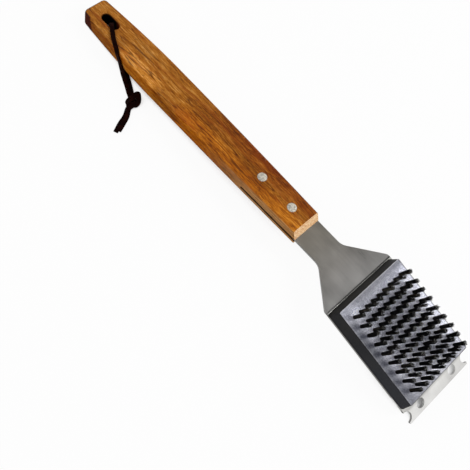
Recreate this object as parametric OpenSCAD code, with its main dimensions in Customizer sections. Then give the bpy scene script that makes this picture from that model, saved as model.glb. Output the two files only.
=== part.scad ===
// Grill brush: a hardwood handle riveted to one folded sheet of steel, which
// carries a moulded block of wire tufts and ends in a notched scraper.
// It lies on a table with the wires up, on its butt and its scraper edge.
// X runs from the butt to the scraper, Z is up, and the origin is on the
// table under the middle of the brush.

/* [Handle] */
// length of the wooden handle
handle_len = 285.2; // [250:0.2:340]
// thickness of the handle
handle_thick = 16.5; // [15:0.5:22]
// width at the front end, where the neck leaves the wood
front_w = 30.2; // [28:0.2:34]
// width at the widest place
belly_w = 34.6; // [34:0.2:40]
// distance from the front end to the widest place
belly_at = 194; // [150:2:200]
// width at the butt
butt_w = 24.8; // [22:0.2:30]
// radius of the butt's corners, seen from above
butt_corner_r = 3.8; // [2.4:0.2:7]
// radius of the four long edges
edge_r = 2.2; // [2.1:0.1:3]
// radius of the edges round the butt
butt_edge_r = 2; // [0.6:0.1:2]
// how far the front end slopes back, from the kerf up to the top face
nose_slope = 4.4; // [0.5:0.1:7]
// depth of the saw kerf for the tang, below the handle's top face
kerf_depth = 9.5; // [7:0.5:10]

/* [Hanging slot] */
// length of the slot over its round ends
slot_len = 20; // [14:1:26]
// width of the slot
slot_w = 9; // [7:0.5:10]
// distance from the butt to the middle of the slot
slot_inset = 23.4; // [20:0.2:34]
// radius that the slot's mouths are rounded to
slot_mouth_r = 2; // [1:0.2:2.4]

/* [Rivets] */
// diameter of the rivet shanks
rivet_d = 5; // [4:0.5:6]
// diameter of the rivet heads
rivet_head_d = 9; // [8:0.2:12]
// depth that the heads sit in the wood
rivet_head_h = 1.4; // [1:0.1:2]
// height of the heads' domes over the wood
rivet_dome_h = 0.4; // [0.2:0.1:0.8]
// distance from the front end to the front rivet
rivet_front_at = 21.8; // [15:0.2:26]
// distance from the tang's end to the rear rivet
rivet_rear_inset = 7.1; // [6:0.1:14]

/* [Steel sheet] */
// thickness of the sheet
sheet_t = 2; // [1.2:0.1:2.4]
// inside radius of both bends
bend_r = 2; // [1:0.5:4]
// length of the tang in the wood
tang_len = 66; // [62:0.5:76]
// clearance past the end of the tang
tang_end_gap = 0.5; // [0.2:0.1:2]
// how far the tang's edges lie inside the wood's sides
tang_inset = 0.4; // [0:0.1:1]
// length of the straight neck in front of the wood
neck_len = 29; // [22:0.5:45]
// radius where the neck opens into the flare
neck_fillet_r = 12; // [6:1:20]
// length of the flare, along the neck's line
flare_len = 32.5; // [26:0.5:40]
// radius of the flare's outer corners
flare_corner_r = 5; // [3:0.5:6]
// from the flare's corners to the bend
flare_lip = 3; // [2.6:0.1:5]
// width of the bed under the block
bed_w = 82; // [82:1:95]
// how much of the bed shows beside the block's foot
bed_side_margin = 0.5; // [0.5:0.1:3]
// angle that the bed bends down from the tang's line
bed_bend = 13.5; // [5:0.5:18]
// from the first bend to the block's rear foot
bed_rear_margin = 0.6; // [0.6:0.1:4]
// from the block's front foot to the second bend
bed_front_margin = 1.7; // [1.2:0.1:5]

/* [Scraper] */
// angle that the scraper bends down from the bed
scraper_bend = 18.8; // [10:0.2:30]
// length of the scraper strip
scraper_len = 13.6; // [13:0.2:20]
// width of the scraper at its edge
scraper_tip_w = 79.2; // [78:0.2:82]
// diameter of the two round holes
scraper_hole_d = 9.2; // [5:0.2:10]
// distance between the two holes
scraper_hole_pitch = 43.6; // [30:0.2:50]
// from the second bend to the middle of the holes
scraper_hole_at = 5.6; // [5.6:0.1:7]
// radius of the corners of the scraper's edge
scraper_corner_r = 0.5; // [0.2:0.1:0.7]
// radius of the notch at each end
notch_r = 5.6; // [4:0.1:6]
// from the second bend to the middle of the notches
notch_at = 6.2; // [6.2:0.1:7]
// from the brush's middle line to the middle of each notch
notch_offset = 40.3; // [39:0.1:42]

/* [Bristle block] */
// length of the block's top face
block_len = 95.8; // [94:0.2:110]
// height of the block
block_h = 13.5; // [10:0.5:16]
// how far each side spreads from top to foot
block_draft = 2.6; // [1:0.1:3]
// radius of the block's upright corners at the top face
block_corner_r = 1; // [1:0.5:4]

/* [Tufts] */
// tufts along each row
tufts_long = 9; // [5:1:9]
// from the block's top edge to the middle of each row's end tufts
tuft_end_margin = 10.1; // [8:0.1:14]
// from the block's top edge to the middle of its outer rows
tuft_side_margin = 8.3; // [6:0.1:12]
// how far the whole pattern sits towards the scraper
tuft_shift = 0.8; // [0:0.1:2]
// height of the tufts over the block
tuft_h = 16; // [10:0.5:24]
// diameter of a tuft where it leaves its hole
tuft_d = 3.2; // [2.5:0.1:3.6]
// diameter of a tuft at its tip
tuft_tip_d = 3.8; // [3.2:0.1:4.4]
// depth of the tuft holes
tuft_hole_depth = 7; // [5:0.5:8]

/* [Block screws] */
// diameter of the screws
screw_d = 3.2; // [2.6:0.1:3.4]
// diameter of their pan heads
screw_head_d = 6.6; // [5.6:0.1:8]
// height of their pan heads
screw_head_h = 2.2; // [1.8:0.1:2.6]
// length of thread in the block
screw_grip = 7; // [5:0.5:8]
// clearance round each screw in the sheet
screw_gap = 0.2; // [0.1:0.1:0.4]

/* [Lace] */
// width of the flat lace
lace_w = 4.2; // [3:0.1:4.4]
// thickness of the lace
lace_t = 1.5; // [1:0.1:1.6]
// height of the knot
knot_h = 8.5; // [6:0.5:10]

/* [Hidden] */
$fn = 48;
edge_steps = 3;

// Where the sheet runs, in the handle's own frame: x forward, z up from the
// handle's top face. The bends are named by their lines on the top surface.
bend_outer_r = bend_r + sheet_t;
bend_reach = neck_len + flare_len + flare_lip;
bed_rear = block_len / 2 + block_draft + bed_rear_margin;
bed_front = block_len / 2 + block_draft + bed_front_margin;
bed_len = bed_rear + bed_front;
scraper_slope = bed_bend + scraper_bend;
first_bend = [bend_reach, -kerf_depth];
second_bend = first_bend + bed_len * [cos(bed_bend), -sin(bed_bend)];
tip_top = second_bend + scraper_len * [cos(scraper_slope), -sin(scraper_slope)];
tip_low = tip_top - sheet_t * [sin(scraper_slope), cos(scraper_slope)];
tip_spare = [cos(scraper_slope), -sin(scraper_slope)];

// The brush rests on the heel of its butt and on the scraper's lower edge.
heel = [butt_edge_r - handle_len, -handle_thick];
pitch = atan2(heel.y - tip_low.y, tip_low.x - heel.x);
rise = -heel.x * sin(pitch) - heel.y * cos(pitch);
butt_x = butt_edge_r * sin(pitch) - handle_len * cos(pitch);
tip_x = tip_top.x * cos(pitch) - tip_top.y * sin(pitch);
shift = -(butt_x + tip_x) / 2;

slot_at = handle_len - slot_inset;
rivet_rear_at = tang_len - rivet_rear_inset;
block_w = bed_w - 2 * (bed_side_margin + block_draft);
block_foot_r = block_corner_r + block_draft;

// One node for each row of tufts. The screws sit between the outer two tufts and rows.
tuft_rows = 9;
tuft_pitch_x = (block_len - 2 * tuft_end_margin) / (tufts_long - 1);
tuft_pitch_y = (block_w - 2 * tuft_side_margin) / (tuft_rows - 1);
screw_span_x = (tufts_long - 2) * tuft_pitch_x;
screw_span_y = (tuft_rows - 2) * tuft_pitch_y;

// The knot lies on the table. Its frame looks along the strands that enter it.
knot_at = [-138.2, -30.1];
knot_turn = -24;
knot_back = 6.2;
knot_front = 6.6;
knot_side = 6.5;
knot_cut = 2.2;
knot_tail_cut = 5.5;

// The lace's routes, each point with the way that its flat face looks there.
lace_loop_route = [
    [by_knot(-knot_back, -1.4, 2.4), [0, 0, 1]],
    [by_knot(-knot_back - 3, -1.4, 2.4), [0, 0, 1]],
    [[-153.6, -24.6, 2.4], [0, 0, 1]],
    [[-160.0, -21.7, 2.4], [0, -0.1, 1]],
    [[-165.2, -19.5, 3.2], [0, -0.6, 1]],
    [[-169.2, -18.2, 5.4], [0, -1, 0.5]],
    [[-172.2, -17.7, 8.6], [0, -1, 0.1]],
    [[-175.0, -17.4, 12.2], [0, -1, 0]],
    [[-177.3, -17.4, 15.8], [0, -1, 0.1]],
    [[-178.9, -17.0, 18.3], [0, -1, 0.6]],
    [[-181.4, -15.8, 19.6], [0, -0.5, 1]],
    [[-185.0, -14.2, 20.0], [0, -0.1, 1]],
    [[-188.8, -12.3, 19.8], [0, 0, 1]],
    [[-192.7, -10.0, 19.5], [0, 0, 1]],
    [[-196.7, -7.4, 19.3], [0, 0, 1]],
    [[-200.6, -4.7, 19.1], [0, 0, 1]],
    [[-203.4, -2.7, 18.8], [-0.2, 0.1, 1]],
    [[-205.2, -1.4, 18.1], [-0.7, 0.4, 1]],
    [[-206.3, -0.7, 16.6], [-1, 0.5, 0.4]],
    [[-206.5, -0.4, 14.4], [-1, 0.5, 0]],
    [[-205.9, -0.4, 10.6], [-1, 0.4, -0.2]],
    [[-204.3, -0.5, 6.8], [-1, 0.4, -0.4]],
    [[-202.2, -0.8, 3.8], [-1, 0.4, -0.9]],
    [[-199.8, -1.5, 1.7], [-0.6, 0.2, -1]],
    [[-196.2, -2.6, 0.8], [-0.1, 0, -1]],
    [[-191.5, -4.5, 0.8], [0, 0, -1]],
    [[-184.0, -7.7, 0.8], [0, 0, -1]],
    [[-176.5, -10.9, 0.8], [0, 0, -1]],
    [[-169.0, -14.1, 0.8], [0, 0, -1]],
    [[-161.6, -17.3, 0.8], [0, 0, -1]],
    [[-154.5, -20.5, 0.8], [0, 0, -1]],
    [by_knot(-knot_back - 4, 1.5, 0.8), [0, 0, -1]],
    [by_knot(-knot_back, 1.5, 0.8), [0, 0, -1]]
];
lace_lower_tail_route = [
    [by_tail(0, -0.6, 0.8), [0, 0, 1]],
    [by_tail(3, -0.6, 0.8), [0, 0, 1]],
    [[-130.7, -46.0, 0.8], [0, 0, 1]],
    [[-128.4, -52.0, 0.8], [0, 0, 1]],
    [[-126.3, -56.6, 0.8], [0, 0, 1]],
    [[-123.4, -62.3, 0.8], [0, 0, 1]]
];
lace_upper_tail_route = [
    [by_tail(0, 0.6, 2.4), [0, 0, 1]],
    [by_tail(3, 0.6, 2.4), [0, 0, 1]],
    [[-129.0, -44.8, 2.4], [0, 0, 1]],
    [[-126.0, -50.6, 2.4], [0, 0, 1]],
    [[-123.8, -55.6, 2.4], [0, 0, 1]],
    [[-122.0, -60.0, 2.4], [0, 0, 1]]
];

// Geometry helpers

function unit(v) = v / norm(v);

// A point given in the knot's frame.
function by_knot(x, y, z) = [
    knot_at.x + x * cos(knot_turn) - y * sin(knot_turn),
    knot_at.y + x * sin(knot_turn) + y * cos(knot_turn),
    z
];

// A point given from the middle of the knot's face that the tails leave, with
// x straight out of that face.
function by_tail(x, y, z) = by_knot(
    knot_front - knot_tail_cut / 2 + (x + y) * cos(45),
    -knot_side + knot_tail_cut / 2 + (y - x) * sin(45),
    z
);

// The arc that rounds corner b between a and c.
function corner_arc(a, b, c, r) = r == 0 ? [b] :
    let (u = unit(a - b), v = unit(c - b))
    let (half = acos(u * v) / 2)
    let (centre = b + unit(u + v) * r / sin(half))
    let (p = b + u * r / tan(half) - centre, q = b + v * r / tan(half) - centre)
    let (from = atan2(p.y, p.x))
    let (sweep = (atan2(q.y, q.x) - from + 540) % 360 - 180)
    [for (i = [0:8]) centre + r * [cos(from + sweep * i / 8), sin(from + sweep * i / 8)]];

// An outline from its corners, each of them [x, y, radius].
function outline(corners) = [
    for (i = [0:len(corners) - 1])
        let (n = len(corners))
        let (a = corners[(i + n - 1) % n], b = corners[i], c = corners[(i + 1) % n])
        each corner_arc([a.x, a.y], [b.x, b.y], [c.x, c.y], b.z)
];

function reversed(points) = [for (i = [len(points) - 1:-1:0]) points[i]];

// The corners of one side, followed by the same corners across the middle line.
function both_sides(corners) = concat(
    corners,
    [for (c = reversed(corners)) len(c) == 2 ? [c.x, -c.y] : [c.x, -c.y, c.z]]
);

// A solid through a list of rings that have the same number of points.
module loft(rings) {
    n = len(rings[0]);
    last = len(rings) - 1;
    polyhedron(
        points = [for (ring = rings) each ring],
        faces = concat(
            [[for (i = [0:n - 1]) i]],
            [for (k = [0:last - 1], i = [0:n - 1])
                [k * n + i, (k + 1) * n + i, (k + 1) * n + (i + 1) % n, k * n + (i + 1) % n]],
            [[for (i = [n - 1:-1:0]) last * n + i]]
        ),
        convexity = 4
    );
}

// The same, with each side face cut into two triangles, for rings that twist.
module twisting_loft(rings) {
    n = len(rings[0]);
    last = len(rings) - 1;
    polyhedron(
        points = [for (ring = rings) each ring],
        faces = concat(
            [[for (i = [0:n - 1]) i]],
            [for (k = [0:last - 1], i = [0:n - 1])
                [k * n + i, (k + 1) * n + i, (k + 1) * n + (i + 1) % n]],
            [for (k = [0:last - 1], i = [0:n - 1])
                [k * n + i, (k + 1) * n + (i + 1) % n, k * n + (i + 1) % n]],
            [[for (i = [n - 1:-1:0]) last * n + i]]
        ),
        convexity = 6
    );
}

// Frames

// The handle's frame: its origin is on the top face at the front end.
module on_handle() {
    translate([shift, 0, rise]) rotate([0, -pitch, 0]) children();
}

// The bed's frame: its origin is under the middle of the block, on the sheet.
module on_bed() {
    on_handle()
        translate([first_bend.x, 0, first_bend.y])
            rotate([0, bed_bend, 0])
                translate([bed_rear, 0, 0])
                    children();
}

// The scraper's frame: its origin is on the second bend's line.
module on_scraper() {
    on_bed() translate([bed_front, 0, 0]) rotate([0, scraper_bend, 0]) children();
}

// Handle

// Half the handle's width at a distance u behind its front end.
function half_width(u) = u < belly_at
    ? (belly_w - (belly_w - front_w) * pow(1 - u / belly_at, 2)) / 2
    : (belly_w - (belly_w - butt_w) * pow((u - belly_at) / (handle_len - belly_at), 1.6)) / 2;

// How much narrower the rounded butt corners make it there.
function corner_loss(u) = let (d = u - handle_len + butt_corner_r)
    d <= 0 ? 0 : butt_corner_r - sqrt(max(0, pow(butt_corner_r, 2) - d * d));

// One section of the handle, drawn in by inset at the ends.
function handle_ring(u, inset) = let (half = half_width(u) - corner_loss(u) - edge_r)
    [for (corner = [0:3], step = [0:edge_steps])
        let (a = 90 * (corner + step / edge_steps))
        let (side = corner == 0 || corner == 3 ? 1 : -1)
        let (level = corner < 2 ? -edge_r : edge_r - handle_thick)
        [-u, side * half + (edge_r - inset) * cos(a), level + (edge_r - inset) * sin(a)]];

// Where its sections lie, from the butt forward, each with its inset.
handle_stations = concat(
    [for (a = [90:-22.5:0]) [handle_len - butt_edge_r * (1 - sin(a)), butt_edge_r * (1 - cos(a))]],
    [for (a = [15:-15:0]) [handle_len - butt_corner_r * (1 - sin(a)), 0]],
    [for (i = [5:-1:0]) [belly_at + (handle_len - butt_corner_r - belly_at) * i / 6, 0]],
    [for (i = [5:-1:0]) [belly_at * i / 6, 0]]
);

// The hanging slot, with both mouths rounded.
module slot_cutter() {
    straight = (slot_len - slot_w) / 2;
    for (x = [-straight, straight])
        translate([x, 0, -handle_thick - 1])
            cylinder(d = slot_w, h = handle_thick + 2);
    translate([-straight, -slot_w / 2, -handle_thick - 1])
        cube([2 * straight, slot_w, handle_thick + 2]);
    slot_mouth(straight);
    translate([0, 0, -handle_thick]) mirror([0, 0, 1]) slot_mouth(straight);
}

// One mouth: the slot's opening widens over its edge radius.
module slot_mouth(straight) {
    reach = slot_w / 2 + slot_mouth_r;
    flank = [for (a = [0:15:90]) [reach - slot_mouth_r * sin(a), -slot_mouth_r * (1 - cos(a))]];
    for (x = [-straight, straight])
        translate([x, 0, 0])
            rotate_extrude()
                polygon(concat([[0, 1], [reach, 1]], flank, [[0, -slot_mouth_r]]));
    rotate([90, 0, 90])
        translate([0, 0, -straight])
            linear_extrude(2 * straight)
                polygon(concat(
                    [[-reach, 1], [reach, 1]],
                    flank,
                    [for (p = reversed(flank)) [-p.x, p.y]]
                ));
}

// What the sloped front end leaves off above the kerf.
module nose_cutter() {
    rotate([90, 0, 0])
        translate([0, 0, -belly_w])
            linear_extrude(2 * belly_w)
                polygon([[-nose_slope, 0], [-nose_slope, 1], [1, 1], [1, -kerf_depth], [0, -kerf_depth]]);
}

module handle() {
    color([0.66, 0.40, 0.17])
        on_handle()
            difference() {
                loft([for (s = handle_stations) handle_ring(s[0], s[1])]);
                translate([-tang_len - tang_end_gap, -belly_w, -kerf_depth - sheet_t])
                    cube([tang_len + tang_end_gap + 1, 2 * belly_w, sheet_t]);
                nose_cutter();
                translate([-slot_at, 0, 0]) slot_cutter();
                for (u = [rivet_front_at, rivet_rear_at])
                    translate([-u, 0, 0]) rivet_seat();
            }
}

// The hole and the two head recesses for one rivet.
module rivet_seat() {
    translate([0, 0, -handle_thick - 1])
        cylinder(d = rivet_d, h = handle_thick + 2);
    translate([0, 0, -rivet_head_h])
        cylinder(d = rivet_head_d, h = rivet_head_h + 1);
    translate([0, 0, -handle_thick - 1])
        cylinder(d = rivet_head_d, h = rivet_head_h + 1);
}

// A rivet set in wood and tang, with low domed heads.
module rivet(u) {
    color([0.80, 0.80, 0.80])
        on_handle()
            translate([-u, 0, 0]) {
                translate([0, 0, -handle_thick + rivet_head_h / 2])
                    cylinder(d = rivet_d, h = handle_thick - rivet_head_h);
                rivet_head();
                translate([0, 0, -handle_thick]) mirror([0, 0, 1]) rivet_head();
            }
}

module rivet_head() {
    r = rivet_head_d / 2;
    ball_r = (r * r + rivet_dome_h * rivet_dome_h) / (2 * rivet_dome_h);
    half = asin(r / ball_r);
    rotate_extrude()
        polygon(concat(
            [[0, -rivet_head_h], [r, -rivet_head_h]],
            [for (i = [4:-1:0]) [
                ball_r * sin(half * i / 4),
                ball_r * cos(half * i / 4) - ball_r + rivet_dome_h
            ]]
        ));
}

// Steel sheet

// The top or underside of a bend, which follows its line and turns down from a
// slope.
function bend_arc(line, slope, turn, r) =
    let (setback = bend_outer_r * tan(turn / 2))
    let (tangent = line - setback * [cos(slope), -sin(slope)])
    let (centre = tangent - bend_outer_r * [sin(slope), cos(slope)])
    [for (i = [0:4]) centre + r * [sin(slope + turn * i / 4), cos(slope + turn * i / 4)]];

// The folded sheet from the side, with a little to spare at both ends.
sheet_side = concat(
    [[-tang_len - 1, -kerf_depth - sheet_t], [-tang_len - 1, -kerf_depth]],
    bend_arc(first_bend, 0, bed_bend, bend_outer_r),
    bend_arc(second_bend, bed_bend, scraper_bend, bend_outer_r),
    [tip_top + tip_spare, tip_low + tip_spare],
    reversed(bend_arc(second_bend, bed_bend, scraper_bend, bend_r)),
    reversed(bend_arc(first_bend, 0, bed_bend, bend_r))
);

// A panel's outline, cut through the sheet's thickness in the panel's frame.
module panel(points) {
    translate([0, 0, -sheet_t - 1]) linear_extrude(sheet_t + 2) polygon(points);
}

// Tang, neck and flare in one plane. The tang follows the wood's sides.
module tang_panel() {
    neck = half_width(0) - tang_inset;
    panel(outline(both_sides(concat(
        [for (i = [6:-1:1]) [-tang_len * i / 6, half_width(tang_len * i / 6) - tang_inset, 0]],
        [
            [0, neck, 0],
            [neck_len, neck, neck_fillet_r],
            [neck_len + flare_len, bed_w / 2, flare_corner_r],
            [bend_reach + 1, bed_w / 2, 0]
        ]
    ))));
}

module bed_panel() {
    panel(both_sides([[-bed_rear - 1, bed_w / 2], [bed_front + 1, bed_w / 2]]));
}

module scraper_panel() {
    panel(outline(both_sides([
        [0, bed_w / 2, 0],
        [scraper_len, scraper_tip_w / 2, scraper_corner_r]
    ])));
}

module scraper_cutter() {
    for (side = [-1, 1]) {
        translate([notch_at, side * notch_offset, -sheet_t - 2])
            cylinder(r = notch_r, h = sheet_t + 4);
        translate([scraper_hole_at, side * scraper_hole_pitch / 2, -sheet_t - 2])
            cylinder(d = scraper_hole_d, h = sheet_t + 4);
    }
}

module steel_sheet() {
    color([0.62, 0.61, 0.59])
        difference() {
            intersection() {
                on_handle()
                    rotate([90, 0, 0])
                        translate([0, 0, -bed_w])
                            linear_extrude(2 * bed_w)
                                polygon(sheet_side);
                union() {
                    on_handle() translate([0, 0, -kerf_depth]) tang_panel();
                    on_bed() bed_panel();
                    on_scraper() scraper_panel();
                }
            }
            on_handle()
                for (u = [rivet_front_at, rivet_rear_at])
                    translate([-u, 0, -handle_thick]) cylinder(d = rivet_d, h = handle_thick);
            on_bed()
                at_screws() translate([0, 0, -sheet_t - 1])
                    cylinder(d = screw_d + 2 * screw_gap, h = sheet_t + 2);
            on_scraper() scraper_cutter();
        }
}

// Bristle block

// The four screw places on the bed, between the tufts.
module at_screws() {
    for (x = [-1, 1], y = [-1, 1])
        translate([tuft_shift + x * screw_span_x / 2, y * screw_span_y / 2, 0])
            children();
}

// The places of one row of tufts on the bed.
module at_tufts(row) {
    for (i = [0:tufts_long - 1])
        translate([
            tuft_shift + (i - (tufts_long - 1) / 2) * tuft_pitch_x,
            (row - (tuft_rows - 1) / 2) * tuft_pitch_y,
            0
        ])
            children();
}

// A bar of the block's length or width, with its two long sides drafted.
module drafted_bar(top_w, run) {
    foot = top_w / 2 + block_draft;
    rotate([90, 0, 0])
        translate([0, 0, -run / 2])
            linear_extrude(run)
                polygon([[-foot, 0], [foot, 0], [top_w / 2, block_h], [-top_w / 2, block_h]]);
}

// Drafted sides that meet in conical corners.
module block_body() {
    x = block_len / 2 - block_corner_r;
    y = block_w / 2 - block_corner_r;
    drafted_bar(block_len, 2 * y);
    rotate([0, 0, 90]) drafted_bar(block_w, 2 * x);
    for (sx = [-x, x], sy = [-y, y])
        translate([sx, sy, 0]) cylinder(r1 = block_foot_r, r2 = block_corner_r, h = block_h);
}

module bristle_block() {
    color([0.16, 0.16, 0.18])
        on_bed()
            difference() {
                block_body();
                for (row = [0:tuft_rows - 1])
                    at_tufts(row) translate([0, 0, block_h - tuft_hole_depth])
                        cylinder(d = tuft_d, h = tuft_hole_depth + 1);
                at_screws() translate([0, 0, -1])
                    cylinder(d = screw_d, h = screw_grip + 1);
            }
}

// One row of tufts. Each tuft is a bundle of wires, stapled into its own hole.
module bristle_row(row) {
    color([0.08, 0.08, 0.08])
        on_bed()
            at_tufts(row)
                translate([0, 0, block_h - tuft_hole_depth]) {
                    cylinder(d = tuft_d, h = tuft_hole_depth);
                    translate([0, 0, tuft_hole_depth])
                        cylinder(d1 = tuft_d, d2 = tuft_tip_d, h = tuft_h);
                }
}

// A pan-head screw from the back of the sheet into the block.
module block_screw(x, y) {
    color([0.70, 0.70, 0.72])
        on_bed()
            translate([tuft_shift + x * screw_span_x / 2, y * screw_span_y / 2, 0])
                difference() {
                    union() {
                        translate([0, 0, -sheet_t]) cylinder(d = screw_d, h = sheet_t + screw_grip);
                        translate([0, 0, -sheet_t - screw_head_h])
                            rotate_extrude()
                                polygon([
                                    [0, 0],
                                    [screw_head_d * 0.3, 0],
                                    [screw_head_d * 0.44, screw_head_h * 0.25],
                                    [screw_head_d / 2, screw_head_h * 0.6],
                                    [screw_head_d / 2, screw_head_h],
                                    [0, screw_head_h]
                                ]);
                    }
                    for (turn = [0, 90])
                        rotate([0, 0, turn])
                            translate([-screw_d / 2, -0.4, -sheet_t - screw_head_h - 1])
                                cube([screw_d, 0.8, 2]);
                }
}

// Lace

// The lace's section at one point: flat, with its corners taken off.
function lace_ring(p, along, face) =
    let (side = unit(cross(face, along)))
    let (up = cross(along, side))
    let (w = lace_w / 2, t = lace_t / 2, c = 0.4)
    [for (q = [
        [w, c - t], [w, t - c], [w - c, t], [c - w, t],
        [-w, t - c], [-w, c - t], [c - w, -t], [w - c, -t]
    ]) p + q.x * side + q.y * up];

// A flat lace along a route.
module lace(route) {
    last = len(route) - 1;
    twisting_loft([
        for (i = [0:last])
            lace_ring(
                route[i][0],
                unit(route[min(i + 1, last)][0] - route[max(i - 1, 0)][0]),
                route[i][1]
            )
    ]);
}

module lace_loop() {
    color([0.09, 0.06, 0.05]) lace(lace_loop_route);
}

// The overhand knot's outer shape, with a flat face for each pair of ends.
module lace_knot() {
    plan = [
        [-knot_back, knot_cut - knot_side], [knot_cut - knot_back, -knot_side],
        [knot_front - knot_tail_cut, -knot_side], [knot_front, knot_tail_cut - knot_side],
        [knot_front, knot_side - knot_cut], [knot_front - knot_cut, knot_side],
        [knot_cut - knot_back, knot_side], [-knot_back, knot_side - knot_cut]
    ];
    color([0.09, 0.06, 0.05])
        translate([knot_at.x, knot_at.y, 0])
            rotate([0, 0, knot_turn])
                hull() {
                    linear_extrude(knot_h - 3) polygon(plan);
                    linear_extrude(knot_h) polygon(plan * 0.62);
                }
}

module lace_tails() {
    color([0.09, 0.06, 0.05]) {
        lace(lace_lower_tail_route);
        lace(lace_upper_tail_route);
    }
}

handle();
rivet(rivet_front_at);  // handle_rivet_front
rivet(rivet_rear_at);  // handle_rivet_rear
steel_sheet();
bristle_block();
bristle_row(0);  // bristle_row_1
bristle_row(1);  // bristle_row_2
bristle_row(2);  // bristle_row_3
bristle_row(3);  // bristle_row_4
bristle_row(4);  // bristle_row_5
bristle_row(5);  // bristle_row_6
bristle_row(6);  // bristle_row_7
bristle_row(7);  // bristle_row_8
bristle_row(8);  // bristle_row_9
block_screw(-1, -1);  // block_screw_1
block_screw(-1, 1);  // block_screw_2
block_screw(1, -1);  // block_screw_3
block_screw(1, 1);  // block_screw_4
lace_loop();
lace_knot();
lace_tails();
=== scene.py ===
"""The looks of the grill brush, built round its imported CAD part, in metres."""

import math
import random

import bpy
import numpy as np
from mathutils import Matrix, Vector


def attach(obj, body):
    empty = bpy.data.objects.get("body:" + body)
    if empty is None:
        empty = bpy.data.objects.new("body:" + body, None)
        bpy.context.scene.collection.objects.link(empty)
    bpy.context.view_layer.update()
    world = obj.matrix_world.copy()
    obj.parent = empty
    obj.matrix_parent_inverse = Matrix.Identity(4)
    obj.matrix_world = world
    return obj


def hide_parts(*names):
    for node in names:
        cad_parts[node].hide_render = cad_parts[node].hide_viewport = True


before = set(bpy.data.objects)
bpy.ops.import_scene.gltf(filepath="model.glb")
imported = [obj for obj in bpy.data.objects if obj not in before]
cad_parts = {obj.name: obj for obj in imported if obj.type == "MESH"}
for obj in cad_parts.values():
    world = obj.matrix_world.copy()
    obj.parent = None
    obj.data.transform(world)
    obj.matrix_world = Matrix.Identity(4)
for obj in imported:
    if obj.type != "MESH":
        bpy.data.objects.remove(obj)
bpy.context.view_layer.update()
scene = bpy.context.scene
MM = 0.001

# Frames of the part as it lies on the table, in degrees and mm
PITCH = 3.25411
SHIFT, RISE = 53.0745, 32.5491
BED_TILT = 13.5
BEND_AT, BED_REAR = 64.5, 51.1
KERF_DEPTH = 9.5

# Places on the part that its finishes follow, in metres
BUTT_AT = 0.285
SLOT_AT, SLOT_STRAIGHT_HALF = 0.2618, 0.0055
KERF_MIDDLE = 0.0105
RIVETS_AT = (0.0218, 0.0589)
SCRAPER_HOLE_AT, SCRAPER_HOLE_OUT = 0.22407, 0.0218


def turned(angle):
    """The rotation about Y that tips +X down by an angle in degrees."""
    a = math.radians(angle)
    return np.array([[math.cos(a), 0, math.sin(a)], [0, 1, 0], [-math.sin(a), 0, math.cos(a)]])


def on_handle(points):
    """Points in the handle's frame (mm), as points of the row frame (mm)."""
    return np.asarray(points, float) @ turned(-PITCH).T + [SHIFT, 0, RISE]


def on_bed(points):
    """Points in the frame of the bed, under the middle of the block (mm)."""
    lifted = (np.asarray(points, float) + [BED_REAR, 0, 0]) @ turned(BED_TILT).T
    return on_handle(lifted + [BEND_AT, 0, -KERF_DEPTH])


# Camera
camera_data = bpy.data.cameras.new("camera")
camera_data.sensor_width = 36
camera_data.lens = 58.47
camera_data.shift_x = -0.00098
camera_data.shift_y = 0.00249
camera = bpy.data.objects.new("camera", camera_data)
scene.collection.objects.link(camera)
scene.camera = camera
right = Vector((0.66308, 0.71352, 0.22632))
down = Vector((0.73668, -0.56838, -0.36641))
forward = Vector((-0.13281, 0.40968, -0.90251))
camera.rotation_mode = "QUATERNION"
camera.rotation_quaternion = Matrix((right, -down, -forward)).transposed().to_quaternion()
camera.location = Vector((103.89, -315.1, 599.18)) * MM


# Mesh helpers
def unit(v):
    return v / np.linalg.norm(v)


def add_mesh(name, verts, faces):
    """A new smooth object from points in mm."""
    mesh = bpy.data.meshes.new(name)
    mesh.from_pydata([tuple(v) for v in np.asarray(verts) * MM], [], faces)
    mesh.validate()
    mesh.polygons.foreach_set("use_smooth", [True] * len(mesh.polygons))
    obj = bpy.data.objects.new(name, mesh)
    scene.collection.objects.link(obj)
    return obj


def spline(points, count):
    """A smooth line through the points, as count points evenly spaced along it."""
    p = np.asarray(points, float)
    p = np.vstack([2 * p[0] - p[1], p, 2 * p[-1] - p[-2]])
    fine = []
    for i in range(1, len(p) - 2):
        for t in np.linspace(0, 1, 24, endpoint=False):
            a, b, c, d = p[i - 1], p[i], p[i + 1], p[i + 2]
            fine.append(0.5 * (2 * b + (c - a) * t + (2 * a - 5 * b + 4 * c - d) * t * t
                               + (3 * b - a - 3 * c + d) * t ** 3))
    fine = np.array(fine + [p[-2]])
    along = np.concatenate([[0], np.cumsum(np.linalg.norm(np.diff(fine[:, :3], axis=0), axis=1))])
    at = np.linspace(0, along[-1], count)
    return np.column_stack([np.interp(at, along, fine[:, k]) for k in range(fine.shape[1])])


def rounded_section(w, t, r, steps=3):
    """A flat section w wide and t thick with its corners rounded, as (side, up) pairs."""
    out = []
    for cx, cy, start in ((1, 1, 0), (-1, 1, 90), (-1, -1, 180), (1, -1, 270)):
        for k in range(steps + 1):
            a = math.radians(start + 90 * k / steps)
            out.append((cx * (w / 2 - r) + r * math.cos(a), cy * (t / 2 - r) + r * math.sin(a)))
    return np.array(out)


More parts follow.
